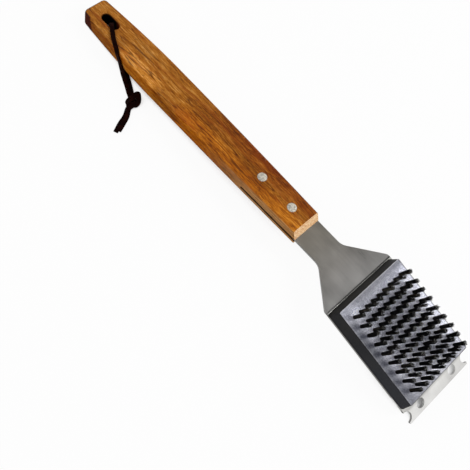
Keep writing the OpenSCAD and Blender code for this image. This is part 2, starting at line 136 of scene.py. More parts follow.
def strip(name, route, section, count, wobble=0.0, seed=0):
    """A thong swept along a route.

    Each point of the route says which way the face looks, and may give its share of the full width.
    """
    rng = random.Random(seed)
    waves = [(rng.uniform(0.15, 0.6), rng.uniform(0, 6.3)) for _ in range(4)]
    marks = [list(at) + list(unit(np.array(looks, float))) + (share or [1]) for at, looks, *share in route]
    line = spline(marks, count)
    pos, face, wide = line[:, :3], line[:, 3:6], line[:, 6]
    tangent = np.gradient(pos, axis=0)
    verts, faces = [], []
    run = 0.0
    for i in range(count):
        run += 0 if i == 0 else np.linalg.norm(pos[i] - pos[i - 1])
        t = unit(tangent[i])
        side = unit(np.cross(face[i], t))
        up = np.cross(t, side)
        wave = sum(math.sin(run * pace * 2 + phase) for pace, phase in waves) / len(waves)
        width = wide[i] * (1 + wobble * wave)
        for s, u in section:
            verts.append(pos[i] + s * width * side + u * up)
    n = len(section)
    for i in range(count - 1):
        for k in range(n):
            a, b = i * n + k, i * n + (k + 1) % n
            faces.append((a, b, b + n, a + n))
    faces.append(tuple(reversed(range(n))))
    faces.append(tuple(range((count - 1) * n, count * n)))
    return add_mesh(name, verts, faces), pos


# Lace (the cord comes first)
KNOT = np.array([-138.2, -30.1])
KNOT_TURN = math.radians(-24)
KNOT_BACK, KNOT_FRONT, KNOT_SIDE, KNOT_TAIL_CUT = 6.2, 6.6, 6.5, 5.5
LACE_W, LACE_T, TAIL_T = 4.2, 1.5, 1.45


def by_knot(x, y, z, turn_only=False):
    """A point (or a direction) in the knot's own frame, which looks along the strands that enter it."""
    c, s = math.cos(KNOT_TURN), math.sin(KNOT_TURN)
    at = (0, 0) if turn_only else KNOT
    return (at[0] + x * c - y * s, at[1] + x * s + y * c, z)


def by_tail(x, y, z):
    """A point given from the middle of the knot's face that the tails leave."""
    h = math.sqrt(0.5)
    inset = KNOT_TAIL_CUT / 2
    return by_knot(KNOT_FRONT - inset + (x + y) * h, inset - KNOT_SIDE + (y - x) * h, z)


LOOP = [
    (by_knot(-KNOT_BACK + 2.5, -1.4, 2.6), (0, 0, 1)),
    (by_knot(-KNOT_BACK - 3, -1.4, 2.4), (0, 0, 1)),
    ((-153.6, -24.6, 2.4), (0, 0, 1)),
    ((-160.0, -21.7, 2.4), (0, -0.1, 1)),
    ((-165.2, -19.5, 3.2), (0, -0.6, 1)),
    ((-169.2, -18.2, 5.4), (0, -1, 0.5)),
    ((-172.2, -17.7, 8.6), (0, -1, 0.1)),
    ((-175.0, -17.4, 12.2), (0, -1, 0)),
    ((-177.3, -17.4, 15.8), (0, -1, 0.1)),
    ((-178.9, -17.0, 18.3), (0, -1, 0.6)),
    ((-181.4, -15.8, 19.6), (0, -0.5, 1)),
    ((-185.0, -14.2, 20.0), (0, -0.1, 1)),
    ((-188.8, -12.3, 19.8), (0, 0, 1)),
    ((-192.7, -10.0, 19.5), (0, 0, 1)),
    ((-196.7, -7.4, 19.3), (0, 0, 1)),
    ((-200.6, -4.7, 19.1), (0, 0, 1)),
    ((-203.4, -2.7, 18.8), (-0.2, 0.1, 1)),
    ((-205.2, -1.4, 18.1), (-0.7, 0.4, 1)),
    ((-206.3, -0.7, 16.6), (-1, 0.5, 0.4)),
    ((-206.5, -0.4, 14.4), (-1, 0.5, 0)),
    ((-205.9, -0.4, 10.6), (-1, 0.4, -0.2)),
    ((-204.3, -0.5, 6.8), (-1, 0.4, -0.4)),
    ((-202.2, -0.8, 3.8), (-1, 0.4, -0.9)),
    ((-199.8, -1.5, 1.7), (-0.6, 0.2, -1)),
    ((-196.2, -2.6, 0.8), (-0.1, 0, -1)),
    ((-191.5, -4.5, 0.8), (0, 0, -1)),
    ((-184.0, -7.7, 0.8), (0, 0, -1)),
    ((-176.5, -10.9, 0.8), (0, 0, -1)),
    ((-169.0, -14.1, 0.8), (0, 0, -1)),
    ((-161.6, -17.3, 0.8), (0, 0, -1)),
    ((-154.5, -20.5, 0.8), (0, 0, -1)),
    (by_knot(-KNOT_BACK - 4, 1.5, 0.8), (0, 0, -1)),
    (by_knot(-KNOT_BACK + 2.5, 1.5, 0.9), (0, 0, -1)),
]
LOWER_TAIL = [
    (by_tail(-3, -0.6, 1.2), (0, 0, 1)),
    (by_tail(3, -0.6, 0.8), (0, 0, 1)),
    ((-130.7, -46.0, 0.8), (0, 0, 1)),
    ((-128.4, -52.0, 0.8), (0, 0, 1)),
    ((-126.3, -56.6, 0.8), (0, 0, 1)),
    ((-123.4, -62.3, 0.8), (0, 0, 1)),
]
UPPER_TAIL = [
    (by_tail(-3, 0.6, 2.8), (0, 0, 1)),
    (by_tail(3, 0.6, 2.4), (0, 0, 1)),
    ((-129.0, -44.8, 2.4), (0, 0, 1)),
    ((-126.0, -50.6, 2.4), (0, 0, 1)),
    ((-123.8, -55.6, 2.4), (0, 0, 1)),
    ((-122.0, -60.0, 2.4), (0, 0, 1)),
]
# Both strands run side by side through an overhand knot, pulled tight.
KNOT_PATH = [
    ((-8.6, 0.3, 1.7), (0, 0, 1)),
    ((-5.2, 0.0, 2.1), (0, 0, 1)),
    ((-0.8, 0.5, 2.5), (0, 0, 1)),
    ((2.6, -0.2, 2.6), (0.4, -0.2, 1)),
    ((4.8, 1.0, 3.4), (0.9, 0.1, 0.8)),
    ((3.9, 3.2, 4.6), (0.6, 0.6, 1)),
    ((1.2, 4.6, 5.4), (0.1, 0.5, 1), 0.95),
    ((-1.6, 5.6, 6.0), (0, 0.4, 1), 0.8),
    ((-4.0, 6.2, 6.5), (-0.2, 0.2, 1), 0.65),
    ((-4.7, 5.0, 7.0), (-0.3, 0, 1), 0.65),
    ((-3.4, 3.0, 7.3), (-0.1, 0, 1), 0.9),
    ((-1.6, 0.9, 7.4), (-0.1, 0, 1)),
    ((-0.6, -1.2, 7.2), (-0.1, -0.1, 1)),
    ((0.3, -3.6, 6.8), (-0.1, -0.5, 1)),
    ((1.6, -6.2, 5.0), (-0.1, -1, 0.4)),
    ((2.2, -6.8, 2.8), (0, -1, -0.4)),
    ((2.0, -4.6, 1.0), (0, -0.3, -1)),
    ((1.2, -1.0, 0.9), (-0.1, 0.1, -1)),
    ((1.6, 1.6, 2.0), (0.2, 1, -0.5)),
    ((3.6, 1.6, 4.2), (0.6, 0.7, 0.8)),
    ((4.9, -1.0, 5.0), (0.7, 0.1, 1)),
    ((5.4, -3.6, 4.2), (0.6, -0.3, 1)),
    ((6.6, -6.2, 2.4), (0.3, -0.3, 1)),
]

lace_section = rounded_section(LACE_W, LACE_T, 0.42)
tail_section = rounded_section(LACE_W, TAIL_T, 0.3)
# the pair's section has a groove in the middle of each face, and is the same in all four quarters
quarter = [(2.6, 0.35), (2.4, 0.68), (1.45, 0.74), (0.45, 0.66), (0.12, 0.36)]
upper = quarter + [(-side, up) for side, up in reversed(quarter)]
pair_section = np.array(upper + [(-side, -up) for side, up in upper])
knot_route = [(by_knot(*at), by_knot(*looks, turn_only=True), *share) for at, looks, *share in KNOT_PATH]

lace, lace_line = strip("lace", LOOP, lace_section, 170, 0.05, 1)
knot, _ = strip("lace_overhand_knot", knot_route, pair_section, 170, 0.10, 2)
tail_low, _ = strip("lace_tail_lower", LOWER_TAIL, tail_section, 40, 0.05, 3)
tail_high, _ = strip("lace_tail_upper", UPPER_TAIL, tail_section, 40, 0.05, 4)
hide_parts("lace_loop")
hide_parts("lace_knot")
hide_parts("lace_tails")
for piece in (lace, knot, tail_low, tail_high):
    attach(piece, "root")


# Tufts of wire
TUFTS, TUFT_PITCH_X, TUFT_PITCH_Y, TUFT_SHIFT = 9, 9.45, 7.4, 0.8
BLOCK_H, TUFT_H = 13.5, 16.0
WIRES, WIRE_R, WIRE_SIDES = 50, 0.18, 5
BASE_R, TIP_R = 1.50, 1.90
GOLDEN_ANGLE = 2.39996
SPLIT_SHARE, SPLIT_GAP = 0.3, 0.45
STRAY_SHARE, STRAY_REACH = 0.05, 0.9


def tuft(cx, cy, rng):
    """One bundle of wires: rings of points in the bed's frame, and a tint for each wire."""
    # the first height is down in the hole
    heights = np.array([-2.5, 0.0, 4.0, 8.0, 12.0, 16.0])
    lean = np.array([rng.gauss(0, 0.25), rng.gauss(0, 0.25)])
    split = rng.random() < SPLIT_SHARE
    split_angle = rng.uniform(0, 2 * math.pi)
    split_way = np.array([math.cos(split_angle), math.sin(split_angle)])
    rings, tints = [], []
    for k in range(WIRES):
        spread = math.sqrt((k + 0.5) / WIRES)
        a = k * GOLDEN_ANGLE + rng.uniform(-0.2, 0.2)
        outward = np.array([math.cos(a), math.sin(a)])
        base = BASE_R * spread * outward
        tip = TIP_R * spread * outward + lean
        tip = tip + np.array([rng.gauss(0, 0.16), rng.gauss(0, 0.16)])
        if split:
            tip = tip + split_way * (SPLIT_GAP if base @ split_way > 0 else -SPLIT_GAP)
        if rng.random() < STRAY_SHARE:
            tip = tip + STRAY_REACH * outward
        length = TUFT_H - abs(rng.gauss(0, 0.35)) - rng.uniform(0, 0.5)
        curl = np.array([rng.gauss(0, 0.10), rng.gauss(0, 0.10)])
        wire = []
        for h in heights:
            u = max(0.0, h) / TUFT_H
            z = h if h <= 0 else u * length
            centre = base + (tip - base) * u ** 1.3 + curl * math.sin(math.pi * u)
            ring = []
            for s in range(WIRE_SIDES):
                b = 2 * math.pi * s / WIRE_SIDES + a
                x = cx + centre[0] + WIRE_R * math.cos(b)
                y = cy + centre[1] + WIRE_R * math.sin(b)
                ring.append((x, y, BLOCK_H + z))
            wire.append(ring)
        rings.append(wire)
        tints.append(rng.random())
    return rings, tints


def tuft_row(row):
    """One row of tufts as one piece, and the material of each of its faces."""
    rng = random.Random(100 + row)
    verts, faces, ends, tint = [], [], [], []
    for i in range(TUFTS):
        x = TUFT_SHIFT + (i - (TUFTS - 1) / 2) * TUFT_PITCH_X
        y = (row - (TUFTS - 1) / 2) * TUFT_PITCH_Y
        rings, tints = tuft(x, y, rng)
        for wire, value in zip(rings, tints):
            start = len(verts)
            for ring in wire:
                verts.extend(ring)
            last = len(wire) - 1
            for j in range(last):
                for s in range(WIRE_SIDES):
                    a = start + j * WIRE_SIDES + s
                    b = start + j * WIRE_SIDES + (s + 1) % WIRE_SIDES
                    faces.append((a, b, b + WIRE_SIDES, a + WIRE_SIDES))
                    ends.append(0)
            faces.append(tuple(start + last * WIRE_SIDES + s for s in range(WIRE_SIDES)))
            ends.append(1)
            faces.append(tuple(start + s for s in reversed(range(WIRE_SIDES))))
            ends.append(0)
            tint.extend([value] * (len(wire) * WIRE_SIDES))
    piece = add_mesh("tufts_%d" % (row + 1), on_bed(verts), faces)
    piece.data.attributes.new("tint", "FLOAT", "POINT").data.foreach_set("value", tint)
    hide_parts("bristle_row_%d" % (row + 1))
    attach(piece, "root")
    return piece, ends


tuft_rows = [tuft_row(row) for row in range(TUFTS)]


# Material helpers
class Finish:
    """A material with a Principled shader, and short ways to add nodes to it."""

    def __init__(self, name):
        self.material = bpy.data.materials.new(name)
        self.material.use_nodes = True
        self.tree = self.material.node_tree
        self.tree.nodes.clear()
        self.out = self.tree.nodes.new("ShaderNodeOutputMaterial")
        self.shader = self.tree.nodes.new("ShaderNodeBsdfPrincipled")
        self.tree.links.new(self.shader.outputs[0], self.out.inputs[0])

    def set(self, **values):
        for key, value in values.items():
            self.put(self.shader.inputs[key.replace("_", " ")], value)

    def put(self, socket, value):
        if isinstance(value, bpy.types.NodeSocket):
            self.tree.links.new(value, socket)
        elif socket.type == "RGBA" and len(value) == 3:
            socket.default_value = (*value, 1)
        else:
            socket.default_value = value

    def node(self, kind, inputs=None, **settings):
        made = self.tree.nodes.new("ShaderNode" + kind)
        for key, value in settings.items():
            setattr(made, key, value)
        for key, value in (inputs or {}).items():
            self.put(made.inputs[key], value)
        return made

    def place(self):
        return self.node("TexCoord").outputs["Object"]

    def frame(self, turn, origin):
        """Object coordinates as seen in a frame of the part, from its origin (mm) and its turn about Y."""
        back = -turned(turn) @ np.asarray(origin) * MM
        return self.node("Mapping", {"Vector": self.place(), "Rotation": (0, math.radians(turn), 0),
                                     "Location": tuple(back)}).outputs[0]

    def stretch(self, vector, x, y, z):
        return self.node("Mapping", {"Vector": vector, "Scale": (x, y, z)}).outputs[0]

    def noise(self, vector, scale=1.0, detail=2.0, rough=0.5, distort=0.0):
        return self.node("TexNoise", {"Vector": vector, "Scale": scale, "Detail": detail, "Roughness": rough,
                                      "Distortion": distort}).outputs["Fac"]

    def math(self, kind, a, b=0.0, c=0.0):
        made = self.node("Math", {0: a, 1: b}, operation=kind)
        if kind == "MULTIPLY_ADD":
            self.put(made.inputs[2], c)
        return made.outputs[0]

    def vector(self, kind, a, b=(0, 0, 0)):
        made = self.node("VectorMath", {0: a, 1: b}, operation=kind)
        return made.outputs["Value"] if kind in ("LENGTH", "DOT_PRODUCT") else made.outputs[0]

    def span(self, value, low, high, to_low=0.0, to_high=1.0, smooth=True):
        return self.node("MapRange", {"Value": value, "From Min": low, "From Max": high, "To Min": to_low,
                                      "To Max": to_high},
                         interpolation_type="SMOOTHSTEP" if smooth else "LINEAR").outputs[0]

    def mix(self, factor, a, b, blend="MIX"):
        made = self.node("Mix", data_type="RGBA", blend_type=blend)
        self.put(made.inputs[0], factor)
        self.put(made.inputs[6], a)
        self.put(made.inputs[7], b)
        return made.outputs[2]

    def ramp(self, value, stops):
        made = self.node("ValToRGB", {"Fac": value})
        marks = made.color_ramp.elements
        while len(marks) < len(stops):
            marks.new(0.5)
        for mark, (at, colour) in zip(marks, stops):
            mark.position = at
            mark.color = (*colour, 1)
        return made.outputs[0]

    def bump(self, height, strength, distance):
        made = self.node("Bump", {"Height": height, "Strength": strength, "Distance": distance})
        self.tree.links.new(made.outputs[0], self.shader.inputs["Normal"])

    def normal(self):
        return self.node("NewGeometry").outputs["Normal"]

    def distance(self, dx, dy):
        """The length of two offsets at right angles."""
        squares = self.math("ADD", self.math("MULTIPLY", dx, dx), self.math("MULTIPLY", dy, dy))
        return self.math("SQRT", squares)

    def parts(self, vector):
        made = self.node("SeparateXYZ", {0: vector})
        return made.outputs[0], made.outputs[1], made.outputs[2]


def srgb(r, g, b):
    """A colour given as 0 to 255 on a screen, as linear values."""
    return tuple(((c / 255 + 0.055) / 1.055) ** 2.4 if c > 10 else c / 255 / 12.92 for c in (r, g, b))


# Wood
def make_wood():
    f = Finish("oiled_hardwood")
    at = f.frame(PITCH, on_handle([0, 0, 0]))
    slow = f.node("TexNoise", {"Vector": f.stretch(at, 16, 40, 40), "Scale": 1.0, "Detail": 2.0})
    drift = f.vector("SUBTRACT", slow.outputs["Color"], (0.5, 0.5, 0.5))
    bent = f.vector("ADD", at, f.vector("MULTIPLY", drift, (0, 0.006, 0.006)))
    patch = f.noise(f.stretch(bent, 22, 95, 95), 1.0, 3, 0.5)
    streak = f.noise(f.stretch(bent, 13, 330, 330), 1.0, 4, 0.6)
    fleck = f.noise(f.stretch(bent, 120, 850, 850), 1.0, 4, 0.7)
    fibre = f.noise(f.stretch(bent, 55, 1500, 1500), 1.0, 3, 0.65)
    x, y, z = f.parts(at)
    # how light the wood is from the butt to the front
    tones = [(0.00, 0.56), (0.12, 0.56), (0.22, 0.60), (0.42, 0.53),
             (0.55, 0.43), (0.78, 0.43), (0.92, 0.50), (1.00, 0.55)]
    share = f.span(x, -BUTT_AT, 0.0, 0.0, 1.0, False)
    along = f.ramp(share, [(place, (tone,) * 3) for place, tone in tones])
    value = f.math("MULTIPLY_ADD", patch, 0.50, f.math("MULTIPLY", streak, 0.65))
    value = f.math("MULTIPLY_ADD", fleck, 1.05, f.math("MULTIPLY_ADD", fibre, 0.90, value))
    value = f.math("ADD", value, f.math("SUBTRACT", along, 1.535))
    colour = f.ramp(value, [
        (0.08, srgb(66, 28, 4)), (0.28, srgb(112, 58, 8)), (0.48, srgb(150, 87, 16)),
        (0.66, srgb(178, 114, 38)), (0.88, srgb(206, 148, 76))])
    reds = f.span(f.noise(f.stretch(bent, 18, 210, 210), 1.0, 3), 0.50, 0.64)
    colour = f.mix(f.math("MULTIPLY", reds, 0.45), colour, srgb(138, 62, 8))
    # painted light and shade: towards the rivets the far side of the middle is darkened redder as painted
    # shade and the near one lightened golden as painted light; the near side is also painted paler ahead of
    # the slot
    ahead = f.span(x, -0.150, -0.080)
    colour = f.mix(f.math("MULTIPLY", ahead, f.span(y, 0.0, 0.008)), colour, (0.76, 0.57, 0.36), "MULTIPLY")
    near_side = f.span(y, -0.001, -0.008)
    painted_near_light = f.math("MULTIPLY", f.span(x, -0.165, -0.140), near_side)
    colour = f.mix(painted_near_light, colour, (1.36, 1.26, 0.80), "MULTIPLY")
    past_slot = f.math("MULTIPLY", f.span(x, -0.238, -0.226), f.span(x, -0.176, -0.190))
    colour = f.mix(f.math("MULTIPLY", past_slot, near_side), colour, (1.36, 1.40, 1.55), "MULTIPLY")
    dashes = f.span(f.noise(f.stretch(bent, 260, 1300, 1300), 1.0, 2, 0.5), 0.60, 0.68)
    colour = f.mix(f.math("MULTIPLY", dashes, 0.55), colour, srgb(72, 30, 4))
    # a few dark lines of heartwood, most of them near the rivets
    lines = f.math("ABSOLUTE", f.math("SUBTRACT", f.noise(f.stretch(bent, 9, 120, 120), 1.0, 1), 0.5))
    lines = f.math("MULTIPLY", f.span(lines, 0.020, 0.004), f.span(streak, 0.40, 0.54))
    colour = f.mix(f.math("MULTIPLY", lines, 0.72), colour, srgb(74, 28, 4))
    # the sides are painted darker than the top as painted shade, more so near the butt, and paler olive
    # towards the front
    nx, _, nz = f.parts(f.normal())
    upright = f.span(f.math("ABSOLUTE", nz), 0.80, 0.40)
    colour = f.mix(upright, colour, (0.70, 0.62, 0.42), "MULTIPLY")
    side = f.mix(f.span(x, -0.250, -0.225), (0.84, 0.80, 0.78), (1, 1, 1))
    colour = f.mix(upright, colour, side, "MULTIPLY")
    olive = f.ramp(fibre, [(0.34, srgb(112, 80, 40)), (0.66, srgb(190, 148, 102))])
    colour = f.mix(f.math("MULTIPLY", upright, f.span(x, -0.125, -0.045, 0.0, 0.75)), colour, olive)
    # the front end shows pale end grain, and the butt's corner is painted dark red as painted shade
    front = f.math("MULTIPLY", f.span(nx, 0.50, 0.62), f.span(x, -0.010, -0.008))
    speck = f.noise(f.stretch(at, 520, 620, 520), 1.0, 4, 0.75)
    pale = f.ramp(speck, [
        (0.32, srgb(182, 118, 84)), (0.45, srgb(228, 180, 132)), (0.56, srgb(244, 208, 162)),
        (0.70, srgb(252, 230, 196))])
    colour = f.mix(front, colour, pale)
    butt = f.math("MULTIPLY", f.span(f.math("ABSOLUTE", nz), 0.97, 0.80),
                  f.span(f.math("MULTIPLY_ADD", z, 0.30, x), -0.2735, -0.2765))
    dark = f.ramp(speck, [(0.35, srgb(30, 5, 2)), (0.60, srgb(62, 14, 6)), (0.75, srgb(88, 30, 14))])
    colour = f.mix(f.math("MULTIPLY", butt, 0.95), colour, dark)
    # the slot and the kerf are painted dark inside as painted shade, near black at the slot's rear and dark
    # red-brown at its front
    kerf = f.span(f.math("ABSOLUTE", f.math("ADD", z, KERF_MIDDLE)), 0.00130, 0.00106)
    colour = f.mix(f.math("MULTIPLY", kerf, f.span(x, -0.0668, -0.0662)), colour, (0.012, 0.005, 0.002))
    from_slot = f.math("ABSOLUTE", f.math("ADD", x, SLOT_AT))
    past_straight = f.math("MAXIMUM", f.math("SUBTRACT", from_slot, SLOT_STRAIGHT_HALF), 0.0)
    far = f.distance(past_straight, y)
    inside = f.math("MULTIPLY", f.span(far, 0.0069, 0.0060), f.span(z, -0.0002, -0.0022))
    slot_shade = f.mix(f.span(x, -0.2600, -0.2550), (0.0015, 0.001, 0.0015), (0.130, 0.020, 0.004))
    colour = f.mix(inside, colour, slot_shade)
    f.set(Base_Color=colour, Roughness=f.span(fibre, 0.3, 0.7, 0.46, 0.62, False))
    dull = f.math("MAXIMUM", inside, upright)
    f.put(f.shader.inputs["Specular IOR Level"], f.span(dull, 0.0, 1.0, 0.12, 0.01, False))
    height = f.math("SUBTRACT", f.math("MULTIPLY_ADD", fibre, 0.4, f.math("MULTIPLY", fleck, 0.4)),
                    f.math("MULTIPLY", dashes, 0.8))
    f.bump(height, 0.45, 0.0002)
    return f.material


# Steel
def make_steel():
    f = Finish("satin_steel")
    at = f.frame(PITCH, on_handle([0, 0, 0]))
    brushed = f.noise(f.stretch(at, 22, 2400, 2400), 1.0, 4, 0.65)
    smear = f.noise(f.stretch(at, 26, 40, 40), 1.0, 3, 0.55)
    fine = f.noise(at, 2500.0, 2, 0.5)
    face = f.ramp(f.math("MULTIPLY_ADD", smear, 0.7, f.math("MULTIPLY", brushed, 0.3)), [
        (0.34, (0.50, 0.495, 0.485)), (0.50, (0.61, 0.605, 0.59)), (0.64, (0.72, 0.715, 0.70))])
    x, y, _ = f.parts(at)
    # the neck is painted darker and warmer towards the wood, and the flare darker than the bed, as painted
    # shade
    face = f.mix(f.span(x, 0.070, 0.0), face, (0.81, 0.75, 0.65), "MULTIPLY")
    flare = f.math("MULTIPLY", f.span(x, 0.028, 0.038), f.span(x, 0.072, 0.062))
    face = f.mix(flare, face, (0.88, 0.87, 0.86), "MULTIPLY")
    _, _, nz = f.parts(f.normal())
    edge = f.span(f.math("ABSOLUTE", nz), 0.62, 0.52)
    # the walls of the scraper's holes are painted bright: a painted highlight
    wx, wy, _ = f.parts(f.place())
    dx = f.math("SUBTRACT", wx, SCRAPER_HOLE_AT)
    dy = f.math("SUBTRACT", f.math("ABSOLUTE", wy), SCRAPER_HOLE_OUT)
    bore = f.distance(dx, dy)
    rim = f.mix(f.span(bore, 0.0060, 0.0052), (0.20, 0.195, 0.19), (0.56, 0.56, 0.55))
    # the bed's edge is painted bright beside the block's front corner: a painted highlight
    beside = f.math("MULTIPLY", f.span(wx, 0.2020, 0.2060), f.span(wx, 0.2180, 0.2165))
    rim = f.mix(beside, rim, (0.62, 0.62, 0.61))
    colour = f.mix(edge, face, rim)
    # the strip of bed that shows along the block's rear foot lies in its shade
    foot = f.math("MULTIPLY", f.span(x, 0.0628, 0.0640), f.span(x, 0.0690, 0.0668))
    foot = f.math("MULTIPLY", foot, f.span(y, -0.040, -0.012, 0.75, 0.97))
    colour = f.mix(foot, colour, (0.07, 0.07, 0.065))
    # the scraper is duller and rougher where it leaves the block
    toe = f.math("MULTIPLY", f.span(wx, 0.2110, 0.2135), f.span(wx, 0.2235, 0.2205))
    colour = f.mix(toe, colour, (0.75, 0.75, 0.74), "MULTIPLY")
    # the tang's edges are painted dark inside the wood, painted shade that shows as a dark line in the kerf
    in_wood = f.math("MULTIPLY", edge, f.span(x, -0.0015, -0.0025))
    colour = f.mix(in_wood, colour, (0.006, 0.004, 0.003))
    rough = f.math("MULTIPLY_ADD", smear, 0.14, f.math("MULTIPLY_ADD", brushed, 0.08, 0.20))
    f.set(Base_Color=colour, Metallic=f.math("SUBTRACT", 1.0, in_wood),
          Roughness=f.math("MULTIPLY_ADD", toe, 0.35, rough))
    f.put(f.shader.inputs["Specular IOR Level"], f.math("MULTIPLY_ADD", in_wood, -0.5, 0.5))
    f.bump(f.math("MULTIPLY_ADD", brushed, 0.7, f.math("MULTIPLY", fine, 0.3)), 0.10, 0.00006)
    return f.material


# Moulded block
def make_block():
    f = Finish("moulded_plastic")
    at = f.frame(PITCH - BED_TILT, on_bed([0, 0, 0]))
    x, y, z = f.parts(at)
    grain = f.noise(at, 1100.0, 4, 0.75)
    cells = f.node("TexVoronoi", {"Vector": at, "Scale": 1500.0}).outputs["Distance"]
    cloud = f.noise(at, 45.0, 3, 0.5)
    # the top gets a far lighter grey than the near-black walls: partly the plastic's own colour and partly
    # painted sheen
    top = f.math("MULTIPLY", f.span(f.vector("DOT_PRODUCT", f.normal(), (0.178, 0, 0.984)), 0.93, 0.985),
                 f.span(z, 0.0125, 0.0133))
    base = f.ramp(f.math("MULTIPLY_ADD", grain, 0.7, f.math("MULTIPLY", cloud, 0.3)), [
        (0.39, (0.052, 0.055, 0.078)), (0.49, (0.140, 0.143, 0.180)), (0.59, (0.340, 0.342, 0.395))])
    # painted light: the top is painted lighter between the tufts, less so towards the front and the right
    painted_field_light = f.math("MULTIPLY", f.span(x, -0.0460, -0.0380), f.span(y, -0.0330, -0.0260))
    slant = f.math("SUBTRACT", x, f.math("MULTIPLY", y, 0.6))
    painted_field_light = f.math("MULTIPLY", painted_field_light, f.span(slant, 0.0580, 0.0460, 0.25, 1.0))
    painted_field_light = f.math("MULTIPLY", painted_field_light, f.span(x, 0.0455, 0.0400, 0.4, 1.0))
    base = f.mix(painted_field_light, base, (3.9, 3.9, 3.7), "MULTIPLY")
    # painted sheen: the top is lighter still at its rear-left corner and a little at the rear-right
    corner = f.math("MULTIPLY", f.span(x, -0.0330, -0.0420), f.span(y, -0.0150, -0.0290))
    other = f.math("MULTIPLY", f.span(x, -0.0340, -0.0400), f.span(y, 0.0020, 0.0160, 0, 0.25))
    corner = f.math("MAXIMUM", corner, other)
    base = f.mix(corner, base, (2.0, 2.0, 1.95), "MULTIPLY")
    # painted shade: a darker strip along the top's left edge, ahead of the rear
    border = f.math("MULTIPLY", f.span(y, -0.0300, -0.0345), f.span(x, -0.0360, -0.0280))
    base = f.mix(border, base, (0.62, 0.64, 0.68), "MULTIPLY")
    # the rear and left top edges are painted a little brighter: a painted highlight
    rim = f.math("MAXIMUM", f.span(x, -0.0472, -0.0476), f.span(y, -0.0372, -0.0376, 0.0, 0.45))
    base = f.mix(f.math("MULTIPLY", rim, 0.55), base, (0.60, 0.60, 0.62))
    # the other two edges lie in shade
    shade = f.math("MAXIMUM", f.span(x, 0.0470, 0.0475), f.span(y, 0.0370, 0.0375))
    base = f.mix(f.math("MULTIPLY", shade, 0.8), base, (0.02, 0.02, 0.024))
    # the walls are near black, the left one lighter towards the front
    side = f.ramp(cloud, [(0.35, (0.004, 0.004, 0.005)), (0.65, (0.012, 0.011, 0.010))])
    _, ny, _ = f.parts(f.normal())
    left = f.ramp(grain, [(0.35, (0.008, 0.009, 0.012)), (0.65, (0.024, 0.025, 0.030))])
    on_left = f.math("MULTIPLY", f.span(ny, -0.5, -0.8), f.span(x, -0.030, 0.030, 0.15, 1.0))
    side = f.mix(on_left, side, left)
    f.set(Base_Color=f.mix(top, side, base), Roughness=f.math("MULTIPLY_ADD", grain, 0.14, 0.38))
    f.put(f.shader.inputs["Specular IOR Level"], f.math("MULTIPLY_ADD", top, 0.45, 0.09))
    f.bump(f.math("MULTIPLY_ADD", cells, 0.6, f.math("MULTIPLY", grain, 0.4)), 0.22, 0.00010)
    return f.material


# Rivets and screws
def make_rivets():
    f = Finish("worn_aluminium")
    at = f.frame(PITCH, on_handle([0, 0, 0]))
    x, y, _ = f.parts(at)
    front, rear = (f.math("ABSOLUTE", f.math("ADD", x, place)) for place in RIVETS_AT)
    far = f.distance(f.math("MINIMUM", front, rear), y)
    mottle = f.noise(at, 650.0, 4, 0.7)
    colour = f.ramp(mottle, [
        (0.34, (0.40, 0.38, 0.34)), (0.48, (0.67, 0.63, 0.54)), (0.62, (0.90, 0.85, 0.74))])
    # a darker ring where the head meets the wood
    rim = f.span(far, 0.0039, 0.0044)
    colour = f.mix(f.math("MULTIPLY", rim, 0.75), colour, (0.22, 0.13, 0.08))
    f.set(Base_Color=colour, Metallic=0.75, Roughness=f.math("MULTIPLY_ADD", mottle, 0.2, 0.38))
    f.bump(mottle, 0.4, 0.00012)
    return f.material


def make_screws():
    f = Finish("zinc_plate")
    at = f.place()
    mottle = f.noise(at, 700.0, 3, 0.6)
    colour = f.ramp(mottle, [(0.3, (0.50, 0.51, 0.53)), (0.7, (0.74, 0.74, 0.72))])
    f.set(Base_Color=colour, Metallic=1.0, Roughness=f.math("MULTIPLY_ADD", mottle, 0.2, 0.25))
    f.bump(f.noise(at, 3000.0, 2), 0.15, 0.00004)
    return f.material


# Wires
def make_wires():
    f = Finish("dark_wire")
    at = f.place()
    tint = f.node("Attribute", attribute_name="tint").outputs["Fac"]
    streak = f.noise(at, 1400.0, 2)
    colour = f.ramp(tint, [
        (0.0, (0.002, 0.002, 0.0024)), (0.7, (0.004, 0.004, 0.004)), (0.93, (0.012, 0.010, 0.008)),
        (1.0, (0.12, 0.10, 0.07))])
    f.set(Base_Color=colour, Metallic=0.0, Roughness=f.math("MULTIPLY_ADD", streak, 0.2, 0.35))
    f.shader.inputs["Specular IOR Level"].default_value = 0.02
    return f.material


def make_wire_ends():
    f = Finish("cut_wire_ends")
    at = f.place()
    bare = f.noise(at, 1500.0, 2)
    colour = f.ramp(bare, [(0.50, (0.012, 0.012, 0.012)), (0.64, (0.60, 0.60, 0.57))])
    f.set(Base_Color=colour, Metallic=0.9, Roughness=f.math("MULTIPLY_ADD", f.noise(at, 900.0, 1), 0.2, 0.2))
    return f.material


# Leather
def make_leather():
    f = Finish("dark_leather")
    at = f.place()
    hide = f.node("TexVoronoi", {"Vector": at, "Scale": 1700.0}, feature="F2").outputs["Distance"]
    cloud = f.noise(at, 260.0, 4, 0.6)
    colour = f.ramp(f.math("MULTIPLY_ADD", cloud, 0.8, f.math("MULTIPLY", hide, 0.2)), [
        (0.35, (0.0025, 0.0003, 0.0001)), (0.55, (0.0065, 0.0008, 0.0003)), (0.75, (0.022, 0.0035, 0.0014))])
    f.set(Base_Color=colour, Roughness=f.math("MULTIPLY_ADD", cloud, 0.20, 0.50))
    f.shader.inputs["Specular IOR Level"].default_value = 0.025
    f.bump(f.math("MULTIPLY_ADD", hide, 0.6, f.math("MULTIPLY", cloud, 0.4)), 0.4, 0.00015)
    return f.material


finishes = {"wood": make_wood(), "sheet": make_steel(), "block": make_block(), "rivets": make_rivets(),
            "screws": make_screws(), "wires": make_wires(), "lace": make_leather()}
ends_finish = make_wire_ends()


def dress(obj, *materials):
    obj.data.materials.clear()
    for m in materials:
        obj.data.materials.append(m)


